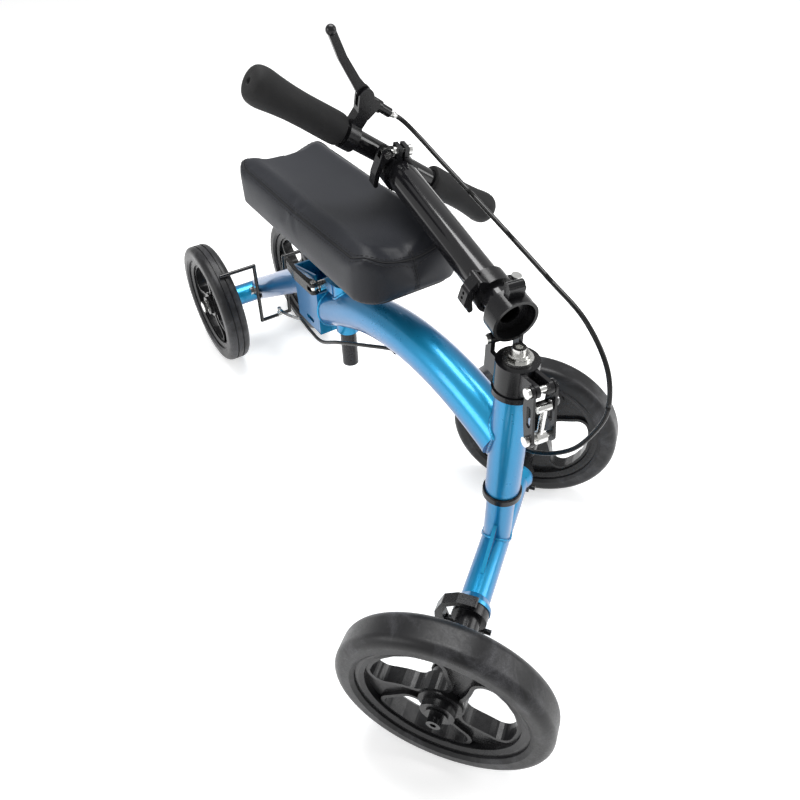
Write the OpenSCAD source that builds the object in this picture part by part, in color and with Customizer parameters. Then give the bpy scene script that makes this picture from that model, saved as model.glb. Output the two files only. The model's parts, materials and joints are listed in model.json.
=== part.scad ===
// Folding knee scooter: four wheels, a padded knee rest on a height-adjustable post, and a
// steering column that is shown folded back over the pad.
// The rear axle is at the back, forward is +X, left is +Y, and the wheels stand on Z = 0.

/* [Wheels] */

// Diameter of the front wheels over the tyre
front_wheel_d = 216; // [180:1:260]

// Diameter of the rear wheels over the tyre
rear_wheel_d = 200; // [170:1:220]

// Width of every tyre
tyre_w = 36; // [26:1:46]

// Distance between the centres of the front wheels
front_track = 389; // [320:1:470]

// Distance between the centres of the rear wheels
rear_track = 164; // [150:1:240]

/* [Frame] */

// Distance from the rear axle to the steering axis
wheelbase = 653; // [560:1:790]

// Diameter of the arched main beam
beam_d = 50; // [38:1:54]

// Diameter of the straight rear arm
arm_d = 38; // [30:1:40]

// Height of the head tube
head_h = 136; // [110:1:165]

// Diameter of the head tube
head_d = 37; // [34:1:46]

/* [Seat] */

// Diameter of the seat post
post_d = 22.2; // [19:0.1:27.2]

// Distance from the rear axle to the seat post
seat_x = 325; // [300:1:360]

// Length of the knee pad
pad_l = 326; // [280:1:380]

// Width of the knee pad
pad_w = 130; // [110:1:150]

// Thickness of the knee pad at its edges
pad_h = 46; // [36:1:50]

/* [Steering column] */

// Diameter of the lower column tube
column_d = 28.6; // [24:0.1:30]

// Diameter of the handlebar
bar_d = 22.2; // [19:0.1:25.4]

// Length of the handlebar over the grips
bar_l = 356; // [300:1:440]

// Diameter of the grips
grip_d = 34; // [28:1:38]

// Angle that the column is folded back from upright
fold_angle = 81; // [0:1:82]

// Angle that the front wheels are steered to the left
steer = 36.2; // [-4:0.1:40]

// Angle that the handlebar is turned in the folded column
bar_turn = 36; // [0:1:40]

/* [Hidden] */

$fn = 72;

gap = 0.3;        // clearance between pieces that move past each other
run = 0.05;       // radial clearance of a running fit
wall = 2.5;       // wall of the frame tubes

blue = [0.15, 0.45, 0.72];
black = [0.05, 0.05, 0.06];
dark = [0.2, 0.2, 0.21];
grey = [0.3, 0.3, 0.32];
silver = [0.78, 0.78, 0.76];
rubber = [0.08, 0.08, 0.08];
leather = [0.22, 0.24, 0.27];

// ---- derived positions ----

front_r = front_wheel_d / 2;
rear_r = rear_wheel_d / 2;
shoulder = 10;    // radius of the tyre shoulders
tyre_t = 22;      // height of a tyre section

// overall ends in X, from the rear tyres and the steered front tyres
side_s = abs(sin(steer));
side_c = cos(steer);
front_reach = (front_r - shoulder) * side_c + (tyre_w / 2 - shoulder) * side_s + shoulder;
front_end = wheelbase + front_track / 2 * side_s + front_reach;
mid_x = (front_end - rear_r) / 2;

// main beam: one arc from the head tube to beam_end, then a straight tail into the bracket
tail_angle = 26.4;
beam_end = [seat_x + 15, 245];
beam_top = seat_x + 0.57 * (wheelbase - seat_x);
beam_r = (beam_top - beam_end[0]) / sin(tail_angle);
beam_c = [beam_top, beam_end[1] - beam_r * cos(tail_angle)];
head_angle = asin((wheelbase - 7 - beam_top) / beam_r);

bracket_x0 = seat_x - 103;
bracket_x1 = seat_x - 37;
arm_top_z = 235;
arm_angle = atan2(arm_top_z - rear_r, bracket_x0);

head_z0 = 194;
head_z1 = head_z0 + head_h;
base_h = 36;
base_z1 = head_z1 + base_h;
steerer_r = 12.5;
stem_yaw = -9;    // the stem base is clamped a little off straight

// folding hinge, in the plane of the stem
hinge_x = -24;
hinge_z = base_z1 + 12;
ring_r = 22.5;
ring_z0 = base_z1 + 1;
dog_z0 = base_z1 + 12;
dog_t = 3;
ring_z1 = base_z1 + 19;

// column, drawn upright and then folded
col_r = column_d / 2;
upper_in = col_r + run;
upper_r = col_r + 2;
upper_z0 = base_z1 + 38;
upper_z1 = base_z1 + 262;
lower_z1 = base_z1 + 234;
bar_z = base_z1 + 286;
stem_post_r = col_r - 1.9;
stem_post_z0 = base_z1 + 114;
bar_r = bar_d / 2;
grip_l = 110;
grip_cap = 4;

axle_z = front_r;
fork_top = head_z0 - 9 - gap;
fork_r = 15.4;
cross_r = 15.9;
cross_half = front_track / 2 - 106.5;
stub_r = 13.2;
front_hub_w = 40;
rear_hub_w = 32;
rear_axle_r = 6;
journal_r = 8;

post_r = post_d / 2;
seat_tube_r = post_r + 4.4;
seat_tube_z0 = 205;
seat_tube_z1 = 278;
plate_z = 344;
board_z = plate_z + 4;
pad_z = board_z + 10 + gap;
skewer_x = seat_x - seat_tube_r - 11.5;
skewer_z = 266.5;
cam_y = -31;

pivot_x = 27;
pivot_z = rear_r + 18;
brake_rod_r = 3;
brake_leg_y = 26;
rest_gap = 1;     // gap between the brake bar and the tyres at rest

latch_x = 40;
latch_z = base_z1 - 4;
draw_x = 47;
draw_z = base_z1 - 55;

lever_x = 44;     // brake lever pivot in front of the handlebar
lever_y = -65;

// ---- placing ----

module placed() translate([-mid_x, 0, 0]) children();

module in_fork() placed() translate([wheelbase, 0, 0]) rotate([0, 0, steer]) children();

module in_stem() placed() translate([wheelbase, 0, 0]) rotate([0, 0, stem_yaw]) children();

module in_column()
  in_stem() translate([hinge_x, 0, hinge_z]) rotate([0, -fold_angle, 0])
    translate([-hinge_x, 0, -hinge_z]) children();

module in_bar() in_column() rotate([0, 0, bar_turn]) children();

// ---- shared shapes ----

module along_y(y0, y1) translate([0, y0, 0]) rotate([-90, 0, 0]) linear_extrude(y1 - y0) children();

// cylinder along Y, at x and z, from y0 to y1
module bar_y(x, z, y0, y1, r) translate([x, y0, z]) rotate([-90, 0, 0]) cylinder(r = r, h = y1 - y0);

// cylinder along X
module bar_x(y, z, x0, x1, r) translate([x0, y, z]) rotate([0, 90, 0]) cylinder(r = r, h = x1 - x0);

// plate standing in the X-Z plane between y0 and y1, drawn with (x, z) outlines
module plate_y(y0, y1) translate([0, y1, 0]) rotate([90, 0, 0]) linear_extrude(y1 - y0) children();

module both_sides() {
  children();
  mirror([0, 1, 0]) children();
}

// flat chain through circles given as [x, y, r]
module chain(c) {
  for (i = [0 : len(c) - 2]) hull() {
    translate([c[i][0], c[i][1]]) circle(r = c[i][2], $fn = 32);
    translate([c[i + 1][0], c[i + 1][1]]) circle(r = c[i + 1][2], $fn = 32);
  }
}

module rounded(l, w, r) offset(r = r) square([l - 2 * r, w - 2 * r], center = true);

// arc of round bar in the X-Z plane about the origin, from angle a0 to a1
module arc_bar(big, r, a0, a1)
  rotate([90, 0, 0]) rotate([0, 0, a0]) rotate_extrude(angle = a1 - a0, $fn = 96)
    translate([big, 0]) circle(r = r, $fn = 72);

// hex-socket head: a cylinder along +Z with a hexagon recess
module socket_head(r, h, key) {
  difference() {
    cylinder(r = r, h = h);
    translate([0, 0, h - key * 0.6]) cylinder(r = key / 2 / cos(30), h = key, $fn = 6);
  }
}

// quick-release lever: flat chain with two cheeks about the barrel at the origin
module cam_lever(c, h) {
  difference() {
    translate([0, 0, -h / 2]) linear_extrude(h) chain(c);
    translate([0, 0, -h]) cylinder(r = 4 + run, h = 2 * h);
    translate([0, 0, -3.4]) cylinder(r = 9, h = 6.8);
  }
}

// ---- frame ----

module beam_solid(r, cut) {
  translate([beam_c[0], 0, beam_c[1]]) arc_bar(beam_r, r, 90 - head_angle + cut, 90 + tail_angle);
  // the tail is a little thinner, so its end sits inside the arc
  translate([beam_end[0], 0, beam_end[1]]) rotate([0, -90 - tail_angle, 0])
    translate([0, 0, -6]) cylinder(r = r - 0.4, h = 96);
}

module main_beam() color(blue) placed() difference() {
  beam_solid(beam_d / 2, 0);
  difference() {
    beam_solid(beam_d / 2 - wall, 0.6);
    translate([bracket_x1 - 40, -40, 0]) cube([40 + wall, 80, 400]);
    translate([seat_x, 0, 150]) cylinder(r = seat_tube_r + wall, h = 160);
  }
  translate([bracket_x1 - 60, -40, 100]) cube([60, 80, 250]);
  translate([wheelbase, 0, head_z0 - 20]) cylinder(r = head_d / 2, h = head_h + 40);
  translate([seat_x, 0, 150]) cylinder(r = seat_tube_r, h = 160);
  // drain hole in the underside
  translate([beam_top - 70, 0, beam_end[1] - 30]) cylinder(r = 4, h = 50);
}

module head_tube() color(blue) placed() translate([wheelbase, 0, head_z0]) difference() {
  cylinder(r = head_d / 2, h = head_h);
  translate([0, 0, -1]) cylinder(r = 15.5, h = head_h + 2);
}

module seat_tube() color(blue) placed() difference() {
  union() {
    translate([seat_x, 0, seat_tube_z0]) cylinder(r = seat_tube_r, h = seat_tube_z1 - seat_tube_z0);
    // clamp ears behind the tube
    both_sides() plate_y(1.5, 14) translate([skewer_x, skewer_z]) hull() {
      circle(r = 7.5);
      translate([16, -7.5]) square([2, 15]);
    }
  }
  translate([seat_x, 0, seat_tube_z0 - 1]) cylinder(r = post_r + run, h = 90);
  translate([skewer_x - 12, -1.5, skewer_z - 8]) cube([seat_x - skewer_x + 4, 3, 30]);
  bar_y(skewer_x, skewer_z, -20, 20, 3.1);
}

module seat_bracket() color(blue) placed() {
  z0 = 182;
  difference() {
    union() {
      both_sides() plate_y(21, 24) difference() {
        polygon([[bracket_x0, z0], [bracket_x1, z0], [bracket_x1, 278], [bracket_x0, 262]]);
        // small slot near the lower edge of each cheek
        translate([bracket_x0 + 30, z0 + 12]) hull() {
          circle(r = 3.5);
          translate([14, 0]) circle(r = 3.5);
        }
      }
      translate([bracket_x0, -21, z0]) cube([3, 42, 262 - z0]);
      translate([bracket_x0 + 3, -21, z0]) cube([bracket_x1 - bracket_x0 - 3, 42, 3]);
      translate([bracket_x1 - 3, -21, z0 + 3]) cube([3, 42, 62]);
    }
    translate([bracket_x0 + 34, 0, z0 - 1]) cylinder(r = 8, h = 5);
  }
}

module rear_arm() color(blue) placed() difference() {
  union() {
    translate([0, 0, rear_r]) rotate([0, 90 - arm_angle, 0]) cylinder(r = arm_d / 2, h = 300);
    // brake pivot boss through the lower end
    bar_y(pivot_x, pivot_z, -21, 21, 7);
  }
  translate([0, 0, rear_r]) rotate([0, 90 - arm_angle, 0]) translate([0, 0, 44])
    cylinder(r = arm_d / 2 - wall, h = 300);
  bar_y(0, rear_r, -60, 60, 17);
  translate([bracket_x0, -50, 0]) cube([200, 100, 500]);
  bar_y(pivot_x, pivot_z, -30, -9, 3);
  bar_y(pivot_x, pivot_z, 9, 30, 3);
}

axle_half = rear_track / 2 - tyre_w / 2 - 4.5;

module rear_axle_tube() color(blue) placed() translate([0, 0, rear_r]) difference() {
  union() {
    bar_y(0, 0, -axle_half, axle_half, 17);
    bar_y(0, 0, -rear_track / 2 + rear_hub_w / 2 + 0.4, rear_track / 2 - rear_hub_w / 2 - 0.4, 10);
  }
  bar_y(0, 0, -axle_half + 8, axle_half - 8, 14);
  bar_y(0, 0, -120, 120, rear_axle_r);
}

module rear_axle() color(silver) placed()
  bar_y(0, rear_r, -rear_track / 2 - 23, rear_track / 2 + 23, rear_axle_r);

module rear_axle_nuts() color(silver) placed() both_sides()
  translate([0, rear_track / 2 + rear_hub_w / 2 + 0.4, rear_r]) rotate([-90, 0, 0]) difference() {
    union() {
      cylinder(r = 10, h = 1.5);
      translate([0, 0, 1.5]) cylinder(r = 9.8, h = 6, $fn = 6);
    }
    translate([0, 0, -1]) cylinder(r = rear_axle_r, h = 7.6);
  }

module seat_clamp_bolt() color(silver) placed() translate([skewer_x, 0, skewer_z]) {
  bar_y(0, 0, cam_y, 17, 3);
  // cam washer on the near ear
  difference() {
    bar_y(0, 0, -24, -14, 7);
    bar_y(0, 0, -25, -22, 5.2);
  }
  translate([0, cam_y, -9]) cylinder(r = 4, h = 18);
  bar_y(0, 0, 14, 15.5, 8);
  translate([0, 15.5, 0]) rotate([-90, 0, 0]) cylinder(r = 7, h = 6, $fn = 6);
}

module headset_ring() color(black) placed() translate([wheelbase, 0, head_z0 - 9])
  rotate_extrude() difference() {
    offset(r = 1.5) translate([steerer_r + run + 1.5, 1.5]) square([5.4, 6]);
    translate([0, -1]) square([steerer_r + run, 12]);
  }

module stem_base() color(black) in_stem() difference() {
  union() {
    translate([0, 0, head_z1]) cylinder(r = 20.5, h = base_h);
    translate([0, 0, head_z1]) cylinder(r = 22, h = 6);
    // rear hinge ears
    both_sides() plate_y(12.5, 17) {
      translate([hinge_x, hinge_z]) circle(r = 5);
      translate([hinge_x - 5, base_z1 - 22]) square([9.5, 34]);
      translate([hinge_x - 5, base_z1 - 22]) square([20, 21.9]);
    }
    // front latch ears
    both_sides() plate_y(5, 9) hull() {
      translate([latch_x, latch_z]) circle(r = 6.5);
      translate([12, base_z1 - 26]) square([6, 24]);
    }
  }
  translate([0, 0, head_z1 - 1]) cylinder(r = 15.5, h = 17);
  translate([0, 0, head_z1]) cylinder(r = steerer_r + run, h = base_h + 1);
  bar_y(hinge_x, hinge_z, -20, 20, 2.5);
  bar_y(latch_x, latch_z, -20, 20, 3);
}

module hinge_pin() color(silver) in_stem() {
  bar_y(hinge_x, hinge_z, -18.5, 18.5, 2.5);
  bar_y(hinge_x, hinge_z, -20.5, -17.1, 4.5);
}

module latch_pin() color(silver) in_stem() {
  bar_y(latch_x, latch_z, -13, 14.5, 3);
  bar_y(latch_x, latch_z, -16, -12.8, 5);
}

module brake_pivots() color(silver) placed() both_sides() {
  bar_y(pivot_x, pivot_z, 10, 25, 3);
  translate([pivot_x, 24.2, pivot_z]) rotate([-90, 0, 0]) cylinder(r = 6, h = 4, $fn = 6);
}

// ---- fork and front axle ----

module fork_stem() color(black) in_fork() difference() {
  translate([0, 0, axle_z]) cylinder(r = fork_r, h = fork_top - axle_z);
  translate([0, 0, axle_z - 1]) cylinder(r = fork_r - wall, h = fork_top - axle_z - 7);
  bar_y(0, axle_z, -40, 40, cross_r);
}

module fork_cross_tube() color(black) in_fork() difference() {
  union() {
    bar_y(0, axle_z, -cross_half, cross_half, cross_r);
    // ribs from the cross tube up to the fork stem
    both_sides() translate([-2, 0, axle_z]) rotate([90, 0, 90]) linear_extrude(4)
      polygon([[8, 10], [64, 14], [64, 16.5], [13, 40], [8, 40]]);
  }
  bar_y(0, axle_z, -cross_half - 1, cross_half + 1, stub_r + run);
  translate([0, 0, axle_z + 9]) cylinder(r = fork_r, h = 60);
}

module steerer() color(silver) in_fork() {
  difference() {
    translate([0, 0, fork_top]) cylinder(r = steerer_r, h = base_z1 + gap - fork_top);
    translate([0, 0, fork_top - 1]) cylinder(r = steerer_r - 2.2, h = base_z1 - fork_top - 20);
  }
  // driving plate with a half-moon step
  translate([0, 0, base_z1 + gap]) cylinder(r = 14, h = 3);
  translate([0, 0, base_z1 + gap + 2]) linear_extrude(4) intersection() {
    circle(r = 11.5);
    translate([0, -20]) square([20, 40]);
  }
}

module steerer_bolt() color(silver) in_fork() translate([0, 0, base_z1 + gap + 6]) {
  cylinder(r = 9.5, h = 2);
  translate([0, 0, 2]) socket_head(6.5, 5.5, 6);
}

module end_collars() color(blue) in_fork() both_sides() translate([0, cross_half, axle_z])
  rotate([-90, 0, 0]) rotate_extrude()
    polygon([[stub_r + run, 0], [cross_r, 0], [20, 8], [20, 12], [stub_r + run, 12]]);

ring_s = cross_half + 12 + gap;
ring_w = 11;
clamp_z = axle_z - 22;
cam_x = -30;

module clamp_rings() color(black) in_fork() both_sides() translate([0, ring_s, 0]) difference() {
  union() {
    bar_y(0, axle_z, 0, ring_w, 19);
    translate([-9, 0, clamp_z - 6]) cube([18, ring_w, 14]);
  }
  bar_y(0, axle_z, -1, ring_w + 1, stub_r + run);
  translate([-1.5, -1, clamp_z - 8]) cube([3, ring_w + 2, 16]);
  bar_x(ring_w / 2, clamp_z, -20, 20, 3);
}

module clamp_bolts() color(silver) in_fork() both_sides() translate([0, ring_s + ring_w / 2, clamp_z]) {
  bar_x(0, 0, cam_x, 24, 3);
  difference() {
    bar_x(0, 0, -23, -9, 5.5);
    bar_x(0, 0, -24, -21, 4.2);
  }
  translate([cam_x, 0, 0]) rotate([90, 0, 0]) cylinder(r = 4, h = 15, center = true);
  translate([9, -5, -5]) cube([8, 10, 10]);
}

module front_stubs() color(black) in_fork() both_sides() translate([0, 0, axle_z]) {
  hub_in = front_track / 2 - front_hub_w / 2;
  difference() {
    union() {
      bar_y(0, 0, 56, hub_in - 0.4, stub_r);
      bar_y(0, 0, hub_in - 5.4, hub_in - 0.4, 19);
      bar_y(0, 0, hub_in - 1, hub_in + front_hub_w + 0.4, journal_r);
    }
    bar_y(0, 0, hub_in + 14, hub_in + 60, 4);
  }
}

module front_axle_bolts() color(silver) in_fork() both_sides()
  translate([0, front_track / 2 + front_hub_w / 2 + 0.4, axle_z]) rotate([-90, 0, 0]) {
    translate([0, 0, -20]) cylinder(r = 4, h = 21);
    cylinder(r = 11, h = 1.6);
    translate([0, 0, 1.6]) socket_head(7, 9, 6);
  }

// ---- wheels ----

// one kidney-shaped opening between the curved spokes
module kidney(ri, ro) {
  n = 6;
  lo = [for (i = [0 : n]) [ri + (ro - ri) * i / n, -44 + 22 * sin(90 * i / n) - 4 * i / n]];
  hi = [for (i = [n : -1 : 0]) [ri + (ro - ri) * i / n, 40 + 22 * sin(90 * i / n) + 4 * i / n]];
  top = [for (a = [1 : 6]) [ro, -26 + (66 + 26) * a / 7]];
  low = [for (a = [4 : -1 : 1]) [ri, -44 + 84 * a / 5]];
  offset(r = 12, $fn = 32) offset(delta = -12)
    polygon([for (p = concat(lo, top, hi, low)) [p[0] * cos(p[1]), p[0] * sin(p[1])]]);
}

// how far each opening is turned about the hub
spokes = [-4, 116, 236];

// wheel centre lying about Z, with its hub bored for the axle
module rim(r, hub_w, bore, hub_r) difference() {
  union() {
    rotate_extrude() polygon([
      [r - tyre_t - 9, -11], [r - tyre_t - 4, -13], [r - tyre_t, -13], [r - tyre_t, 13],
      [r - tyre_t - 4, 13], [r - tyre_t - 9, 11]
    ]);
    cylinder(r = r - tyre_t - 7, h = 9, center = true);
    // raised lips around the openings
    for (a = spokes) rotate(a) linear_extrude(17, center = true)
      offset(delta = 4) kidney(hub_r + 7, r - tyre_t - 13);
    cylinder(r = hub_r, h = hub_w, center = true);
    cylinder(r = hub_r + 5, h = 22, center = true);
  }
  cylinder(r = bore + run, h = hub_w + 2, center = true);
  for (a = spokes) rotate(a) linear_extrude(20, center = true)
    kidney(hub_r + 7, r - tyre_t - 13);
}

module tyre(r, grooves) rotate_extrude() difference() {
  hull() {
    translate([r - tyre_t, -tyre_w / 2 + 3]) square([4, tyre_w - 6]);
    translate([r - shoulder, tyre_w / 2 - shoulder]) circle(r = shoulder, $fn = 64);
    translate([r - shoulder, -tyre_w / 2 + shoulder]) circle(r = shoulder, $fn = 64);
    translate([r - tyre_t + 4, -tyre_w / 2]) square([4, tyre_w]);
  }
  if (grooves) for (y = [-5, 5]) translate([r - 2, y - 1]) square([4, 2]);
}

module front_wheel_at(s) in_fork() translate([0, s * front_track / 2, axle_z])
  rotate([-90, 0, 0]) children();

module rear_wheel_at(s) placed() translate([0, s * rear_track / 2, rear_r])
  rotate([-90, 0, 0]) children();

module front_rim_left() color(grey) front_wheel_at(1) rim(front_r, front_hub_w, journal_r, 17);
module front_rim_right() color(grey) front_wheel_at(-1) mirror([0, 1, 0])
  rim(front_r, front_hub_w, journal_r, 17);
module front_tyre_left() color(rubber) front_wheel_at(1) tyre(front_r, false);
module front_tyre_right() color(rubber) front_wheel_at(-1) tyre(front_r, false);
module rear_rim_left() color(grey) rear_wheel_at(1) rim(rear_r, rear_hub_w, rear_axle_r, 15);
module rear_rim_right() color(grey) rear_wheel_at(-1) mirror([0, 1, 0])
  rim(rear_r, rear_hub_w, rear_axle_r, 15);
module rear_tyre_left() color(rubber) rear_wheel_at(1) tyre(rear_r, true);
module rear_tyre_right() color(rubber) rear_wheel_at(-1) tyre(rear_r, true);

// ---- folding column ----

module hinge_ring() color(black) in_column() difference() {
  union() {
    translate([0, 0, ring_z0]) cylinder(r = ring_r, h = ring_z1 - ring_z0);
    translate([0, 0, ring_z1]) cylinder(r = 19, h = 5);
    bar_y(hinge_x, hinge_z, -12.2, 12.2, 5.2);
    // catch for the draw bolt
    translate([18, -8, ring_z1 - 11]) cube([14, 16, 8]);
    bar_y(31, ring_z1 - 5, -8, 8, 4.5);
  }
  translate([0, 0, ring_z0 - 1]) cylinder(r = 19.5, h = dog_z0 + dog_t + gap - ring_z0 + 1);
  translate([0, 0, ring_z0]) cylinder(r = col_r + run, h = 60);
  bar_y(hinge_x, hinge_z, -20, 20, 2.5 + run);
}

module column_dog() color(dark) in_bar() translate([0, 0, dog_z0]) difference() {
  cylinder(r = 19.2, h = dog_t);
  translate([0, 0, -1]) cylinder(r = 10, h = dog_t + 2);
}

module lower_column() color(black) in_bar() difference() {
  translate([0, 0, dog_z0 + dog_t]) cylinder(r = col_r, h = lower_z1 - dog_z0 - dog_t);
  translate([0, 0, dog_z0]) cylinder(r = col_r - 1.6, h = 300);
}

module upper_column() color(black) in_bar() difference() {
  translate([0, 0, upper_z0]) cylinder(r = upper_r, h = upper_z1 - upper_z0);
  translate([0, 0, upper_z0 - 1]) cylinder(r = upper_in, h = 300);
}

band_h = 18;
band_z = upper_z0 + band_h / 2;
band_r = upper_r + 3;
block_pin = [15.5, -17.5];

// the clamps of the column point straight up while the column is folded
module in_clamp() in_bar() rotate([0, 0, -31]) children();

module band_clamp() color(black) in_clamp() {
  difference() {
    union() {
      translate([0, 0, upper_z0]) cylinder(r = band_r, h = band_h);
      // ears on the left
      for (x = [-7, 1.5]) translate([x, upper_r, upper_z0 + 2]) cube([5.5, 14, band_h - 4]);
      // lugs for the flip block
      for (z = [upper_z0, upper_z0 + band_h - 2.5]) translate([0, 0, z]) linear_extrude(2.5)
        chain([[block_pin[0], block_pin[1], 3.4], [10, -11, 6]]);
    }
    translate([0, 0, upper_z0 - 1]) cylinder(r = upper_r, h = band_h + 2);
    translate([-1.5, 10, upper_z0 - 1]) cube([3, 30, band_h + 2]);
    bar_x(upper_r + 8.5, band_z, -20, 20, 2.5);
  }
  translate([block_pin[0], block_pin[1], upper_z0]) cylinder(r = 1.5, h = band_h);
}

module band_bolt() color(silver) in_clamp() {
  bar_x(upper_r + 8.5, band_z, -11.5, 10, 2.5);
  translate([7, upper_r + 8.5, band_z]) rotate([0, 90, 0]) cylinder(r = 5, h = 4.5);
  translate([-10.5, upper_r + 8.5, band_z]) rotate([0, 90, 0]) cylinder(r = 5, h = 3.5, $fn = 6);
}

module band_lever() color(dark) in_clamp() translate([0, 0, upper_z0 + 2.8]) difference() {
  linear_extrude(band_h - 5.6) difference() {
    union() {
      chain([[block_pin[0], block_pin[1], 3.4], [8, -23.5, 3.2], [-4, -25, 3.4], [-15, -21, 2.6]]);
      chain([[4, -24.5, 4], [-7, -25.5, 4]]);
    }
    circle(r = band_r + gap);
    translate(block_pin) circle(r = 1.5 + run);
  }
  // row of finger dimples
  for (x = [-8, -3, 2]) translate([x, -28.8, (band_h - 5.6) / 2]) rotate([90, 0, 0])
    cylinder(r = 1.6, h = 4, center = true);
}

top_z0 = upper_z1 - 16;
top_z1 = upper_z1 + 11;
top_r = upper_r + 3.4;
top_bolt = [top_r + 4, base_z1 + 254];
top_cam_y = -18;

module top_clamp() color(black) in_clamp() difference() {
  union() {
    translate([0, 0, top_z0]) cylinder(r = top_r, h = top_z1 - top_z0);
    for (y = [-6.5, 1.5]) translate([12, y, top_z0 + 1]) cube([18, 5, 15]);
  }
  translate([0, 0, top_z0 - 1]) cylinder(r = upper_r, h = upper_z1 - top_z0 + 1);
  translate([0, 0, top_z0]) cylinder(r = stem_post_r + run, h = 60);
  translate([8, -1.5, top_z0 - 1]) cube([30, 3, 60]);
  bar_y(top_bolt[0], top_bolt[1], -20, 20, 2.5);
}

module top_clamp_bolt() color(silver) in_clamp() translate([top_bolt[0], 0, top_bolt[1]]) {
  bar_y(0, 0, top_cam_y, 10, 2.5);
  bar_y(0, 0, 6.5, 11.5, 5.5);
  bar_y(0, 0, -9.5, -6.5, 5);
  translate([0, top_cam_y, -7.5]) cylinder(r = 4, h = 15);
}

module top_lever() color(black) in_clamp() translate([top_bolt[0], top_cam_y, top_bolt[1]])
  cam_lever([[0, 0, 6.2], [-9, -5.5, 3.2], [-22, -9.5, 2.8], [-34, -10, 2.6]], 13);

module t_bar() color(black) in_bar() difference() {
  union() {
    translate([0, 0, stem_post_z0]) cylinder(r = stem_post_r, h = bar_z - stem_post_z0);
    bar_y(0, bar_z, -bar_l / 2 + grip_cap, bar_l / 2 - grip_cap, bar_r);
  }
  translate([0, 0, stem_post_z0 - 1]) cylinder(r = stem_post_r - 2, h = bar_z - bar_r - stem_post_z0);
  bar_y(0, bar_z, -bar_l / 2, bar_l / 2, bar_r - 2);
}

module grips() color(dark) in_bar() both_sides() translate([0, bar_l / 2 - grip_l, bar_z])
  rotate([-90, 0, 0]) rotate_extrude() polygon([
    [bar_r, 0], [grip_d / 2 + 2.5, 0], [grip_d / 2 + 2.5, 3], [grip_d / 2 - 1, 7],
    [grip_d / 2, 30], [grip_d / 2, grip_l - 16], [grip_d / 2 + 1, grip_l - 6],
    [grip_d / 2 - 1, grip_l - 1], [grip_d / 2 - 2, grip_l], [0, grip_l],
    [0, grip_l - grip_cap], [bar_r, grip_l - grip_cap]
  ]);

module lever_bracket() color(black) in_bar() translate([0, 0, bar_z]) {
  difference() {
    union() {
      bar_y(0, 0, -64, -50, bar_r + 4.5);
      translate([0, 0, -7]) linear_extrude(14)
        chain([[8, -57, 7], [28, -57, 7], [lever_x, lever_y, 8]]);
      translate([0, 0, -7]) linear_extrude(14) chain([[28, -55, 6], [lever_x - 3, -52, 6]]);
      bar_y(lever_x - 3, 0, -52, -42, 6.5);
    }
    bar_y(0, 0, -80, -40, bar_r);
    // slot for the lever
    translate([lever_x + 6, lever_y - 13, -3.5]) cylinder(r = 23, h = 7);
    bar_y(lever_x - 3, 0, -54, -40, 2.9);
  }
  translate([lever_x, lever_y, -7]) cylinder(r = 3, h = 14);
}

module barrel_adjuster() color(silver) in_bar() translate([lever_x - 3, 0, bar_z]) difference() {
  union() {
    bar_y(0, 0, -50, -41, 2.9);
    bar_y(0, 0, -42, -28, 5);
  }
  bar_y(0, 0, -60, -20, 1.4);
}

module brake_lever() color(black) in_bar() translate([0, 0, bar_z]) difference() {
  union() {
    translate([0, 0, -3.2]) linear_extrude(6.4) chain([
      [lever_x, lever_y, 7], [lever_x + 7, lever_y - 18, 5], [lever_x + 18, lever_y - 42, 4.5],
      [lever_x + 33, lever_y - 66, 4]
    ]);
    translate([lever_x + 33, lever_y - 66, 0]) sphere(r = 5.2);
  }
  translate([lever_x, lever_y, -5]) cylinder(r = 3 + run, h = 10);
}

// ---- rear brake ----

bar_angle = 3.85;  // lean of the brake bar in the X-Z plane
brake_reach = rear_r + brake_rod_r + rest_gap;
brake_top = [brake_reach * cos(53.1), rear_r + brake_reach * sin(53.1)];
brake_low = [brake_top[0] - 110 * sin(bar_angle), brake_top[1] - 110 * cos(bar_angle)];
brake_end_y = rear_track / 2 + 2;

module brake_bar() color(black) placed() {
  a = [brake_top[0], brake_leg_y, brake_top[1]];
  b = [brake_low[0], brake_leg_y, brake_low[1]];
  bar_y(brake_low[0], brake_low[1], -brake_leg_y, brake_leg_y, brake_rod_r);
  both_sides() {
    bar_y(brake_top[0], brake_top[1], brake_leg_y, brake_end_y, brake_rod_r);
    translate(b) rotate([0, bar_angle, 0]) cylinder(r = brake_rod_r, h = 110);
    translate(a) sphere(r = brake_rod_r + 0.3, $fn = 32);
    translate(b) sphere(r = brake_rod_r + 0.3, $fn = 32);
    plate_y(21 + gap, 23.8) difference() {
      chain([[pivot_x, pivot_z, 6.5], [(brake_top[0] + brake_low[0]) / 2, pivot_z + 8, 5.5]]);
      translate([pivot_x, pivot_z]) circle(r = 3 + run);
    }
  }
}

module cable_anchor() color(silver) placed() translate([brake_low[0], 0, brake_low[1]]) difference() {
  union() {
    bar_y(0, 0, 3, 13, 6);
    translate([0, 8, 4]) cylinder(r = 3.5, h = 9);
  }
  bar_y(0, 0, 0, 16, brake_rod_r);
  translate([0, 8, 5.5]) cylinder(r = 1.6, h = 9);
}

// brake cable, from the lever's barrel down the head tube, under the beam and back to the bar
cable_d = 5;
cable_route = [
  [374, 46.2, 493.4], [375, 61, 483], [393, 71, 468], [430, 75, 452], [480, 76, 436],
  [545, 77, 415], [605, 76, 397], [655, 76, 380], [692, 74, 350], [706, 72, 312], [702, 67, 280],
  [684, 57, 243], [649, 42, 220], [610, 25, 230], [565, 7, 246], [514, 0, 251], [480, 0, 250],
  [448, 0, 246], [398, -14, 228], [345, -26, 205], [300, -29, 180], [260, -26, 172],
  [215, -20, 165], [164, -6, 132], [120, 4, 106], [84, 8, 89], [59.6, 8, 82.2]
];

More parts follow.
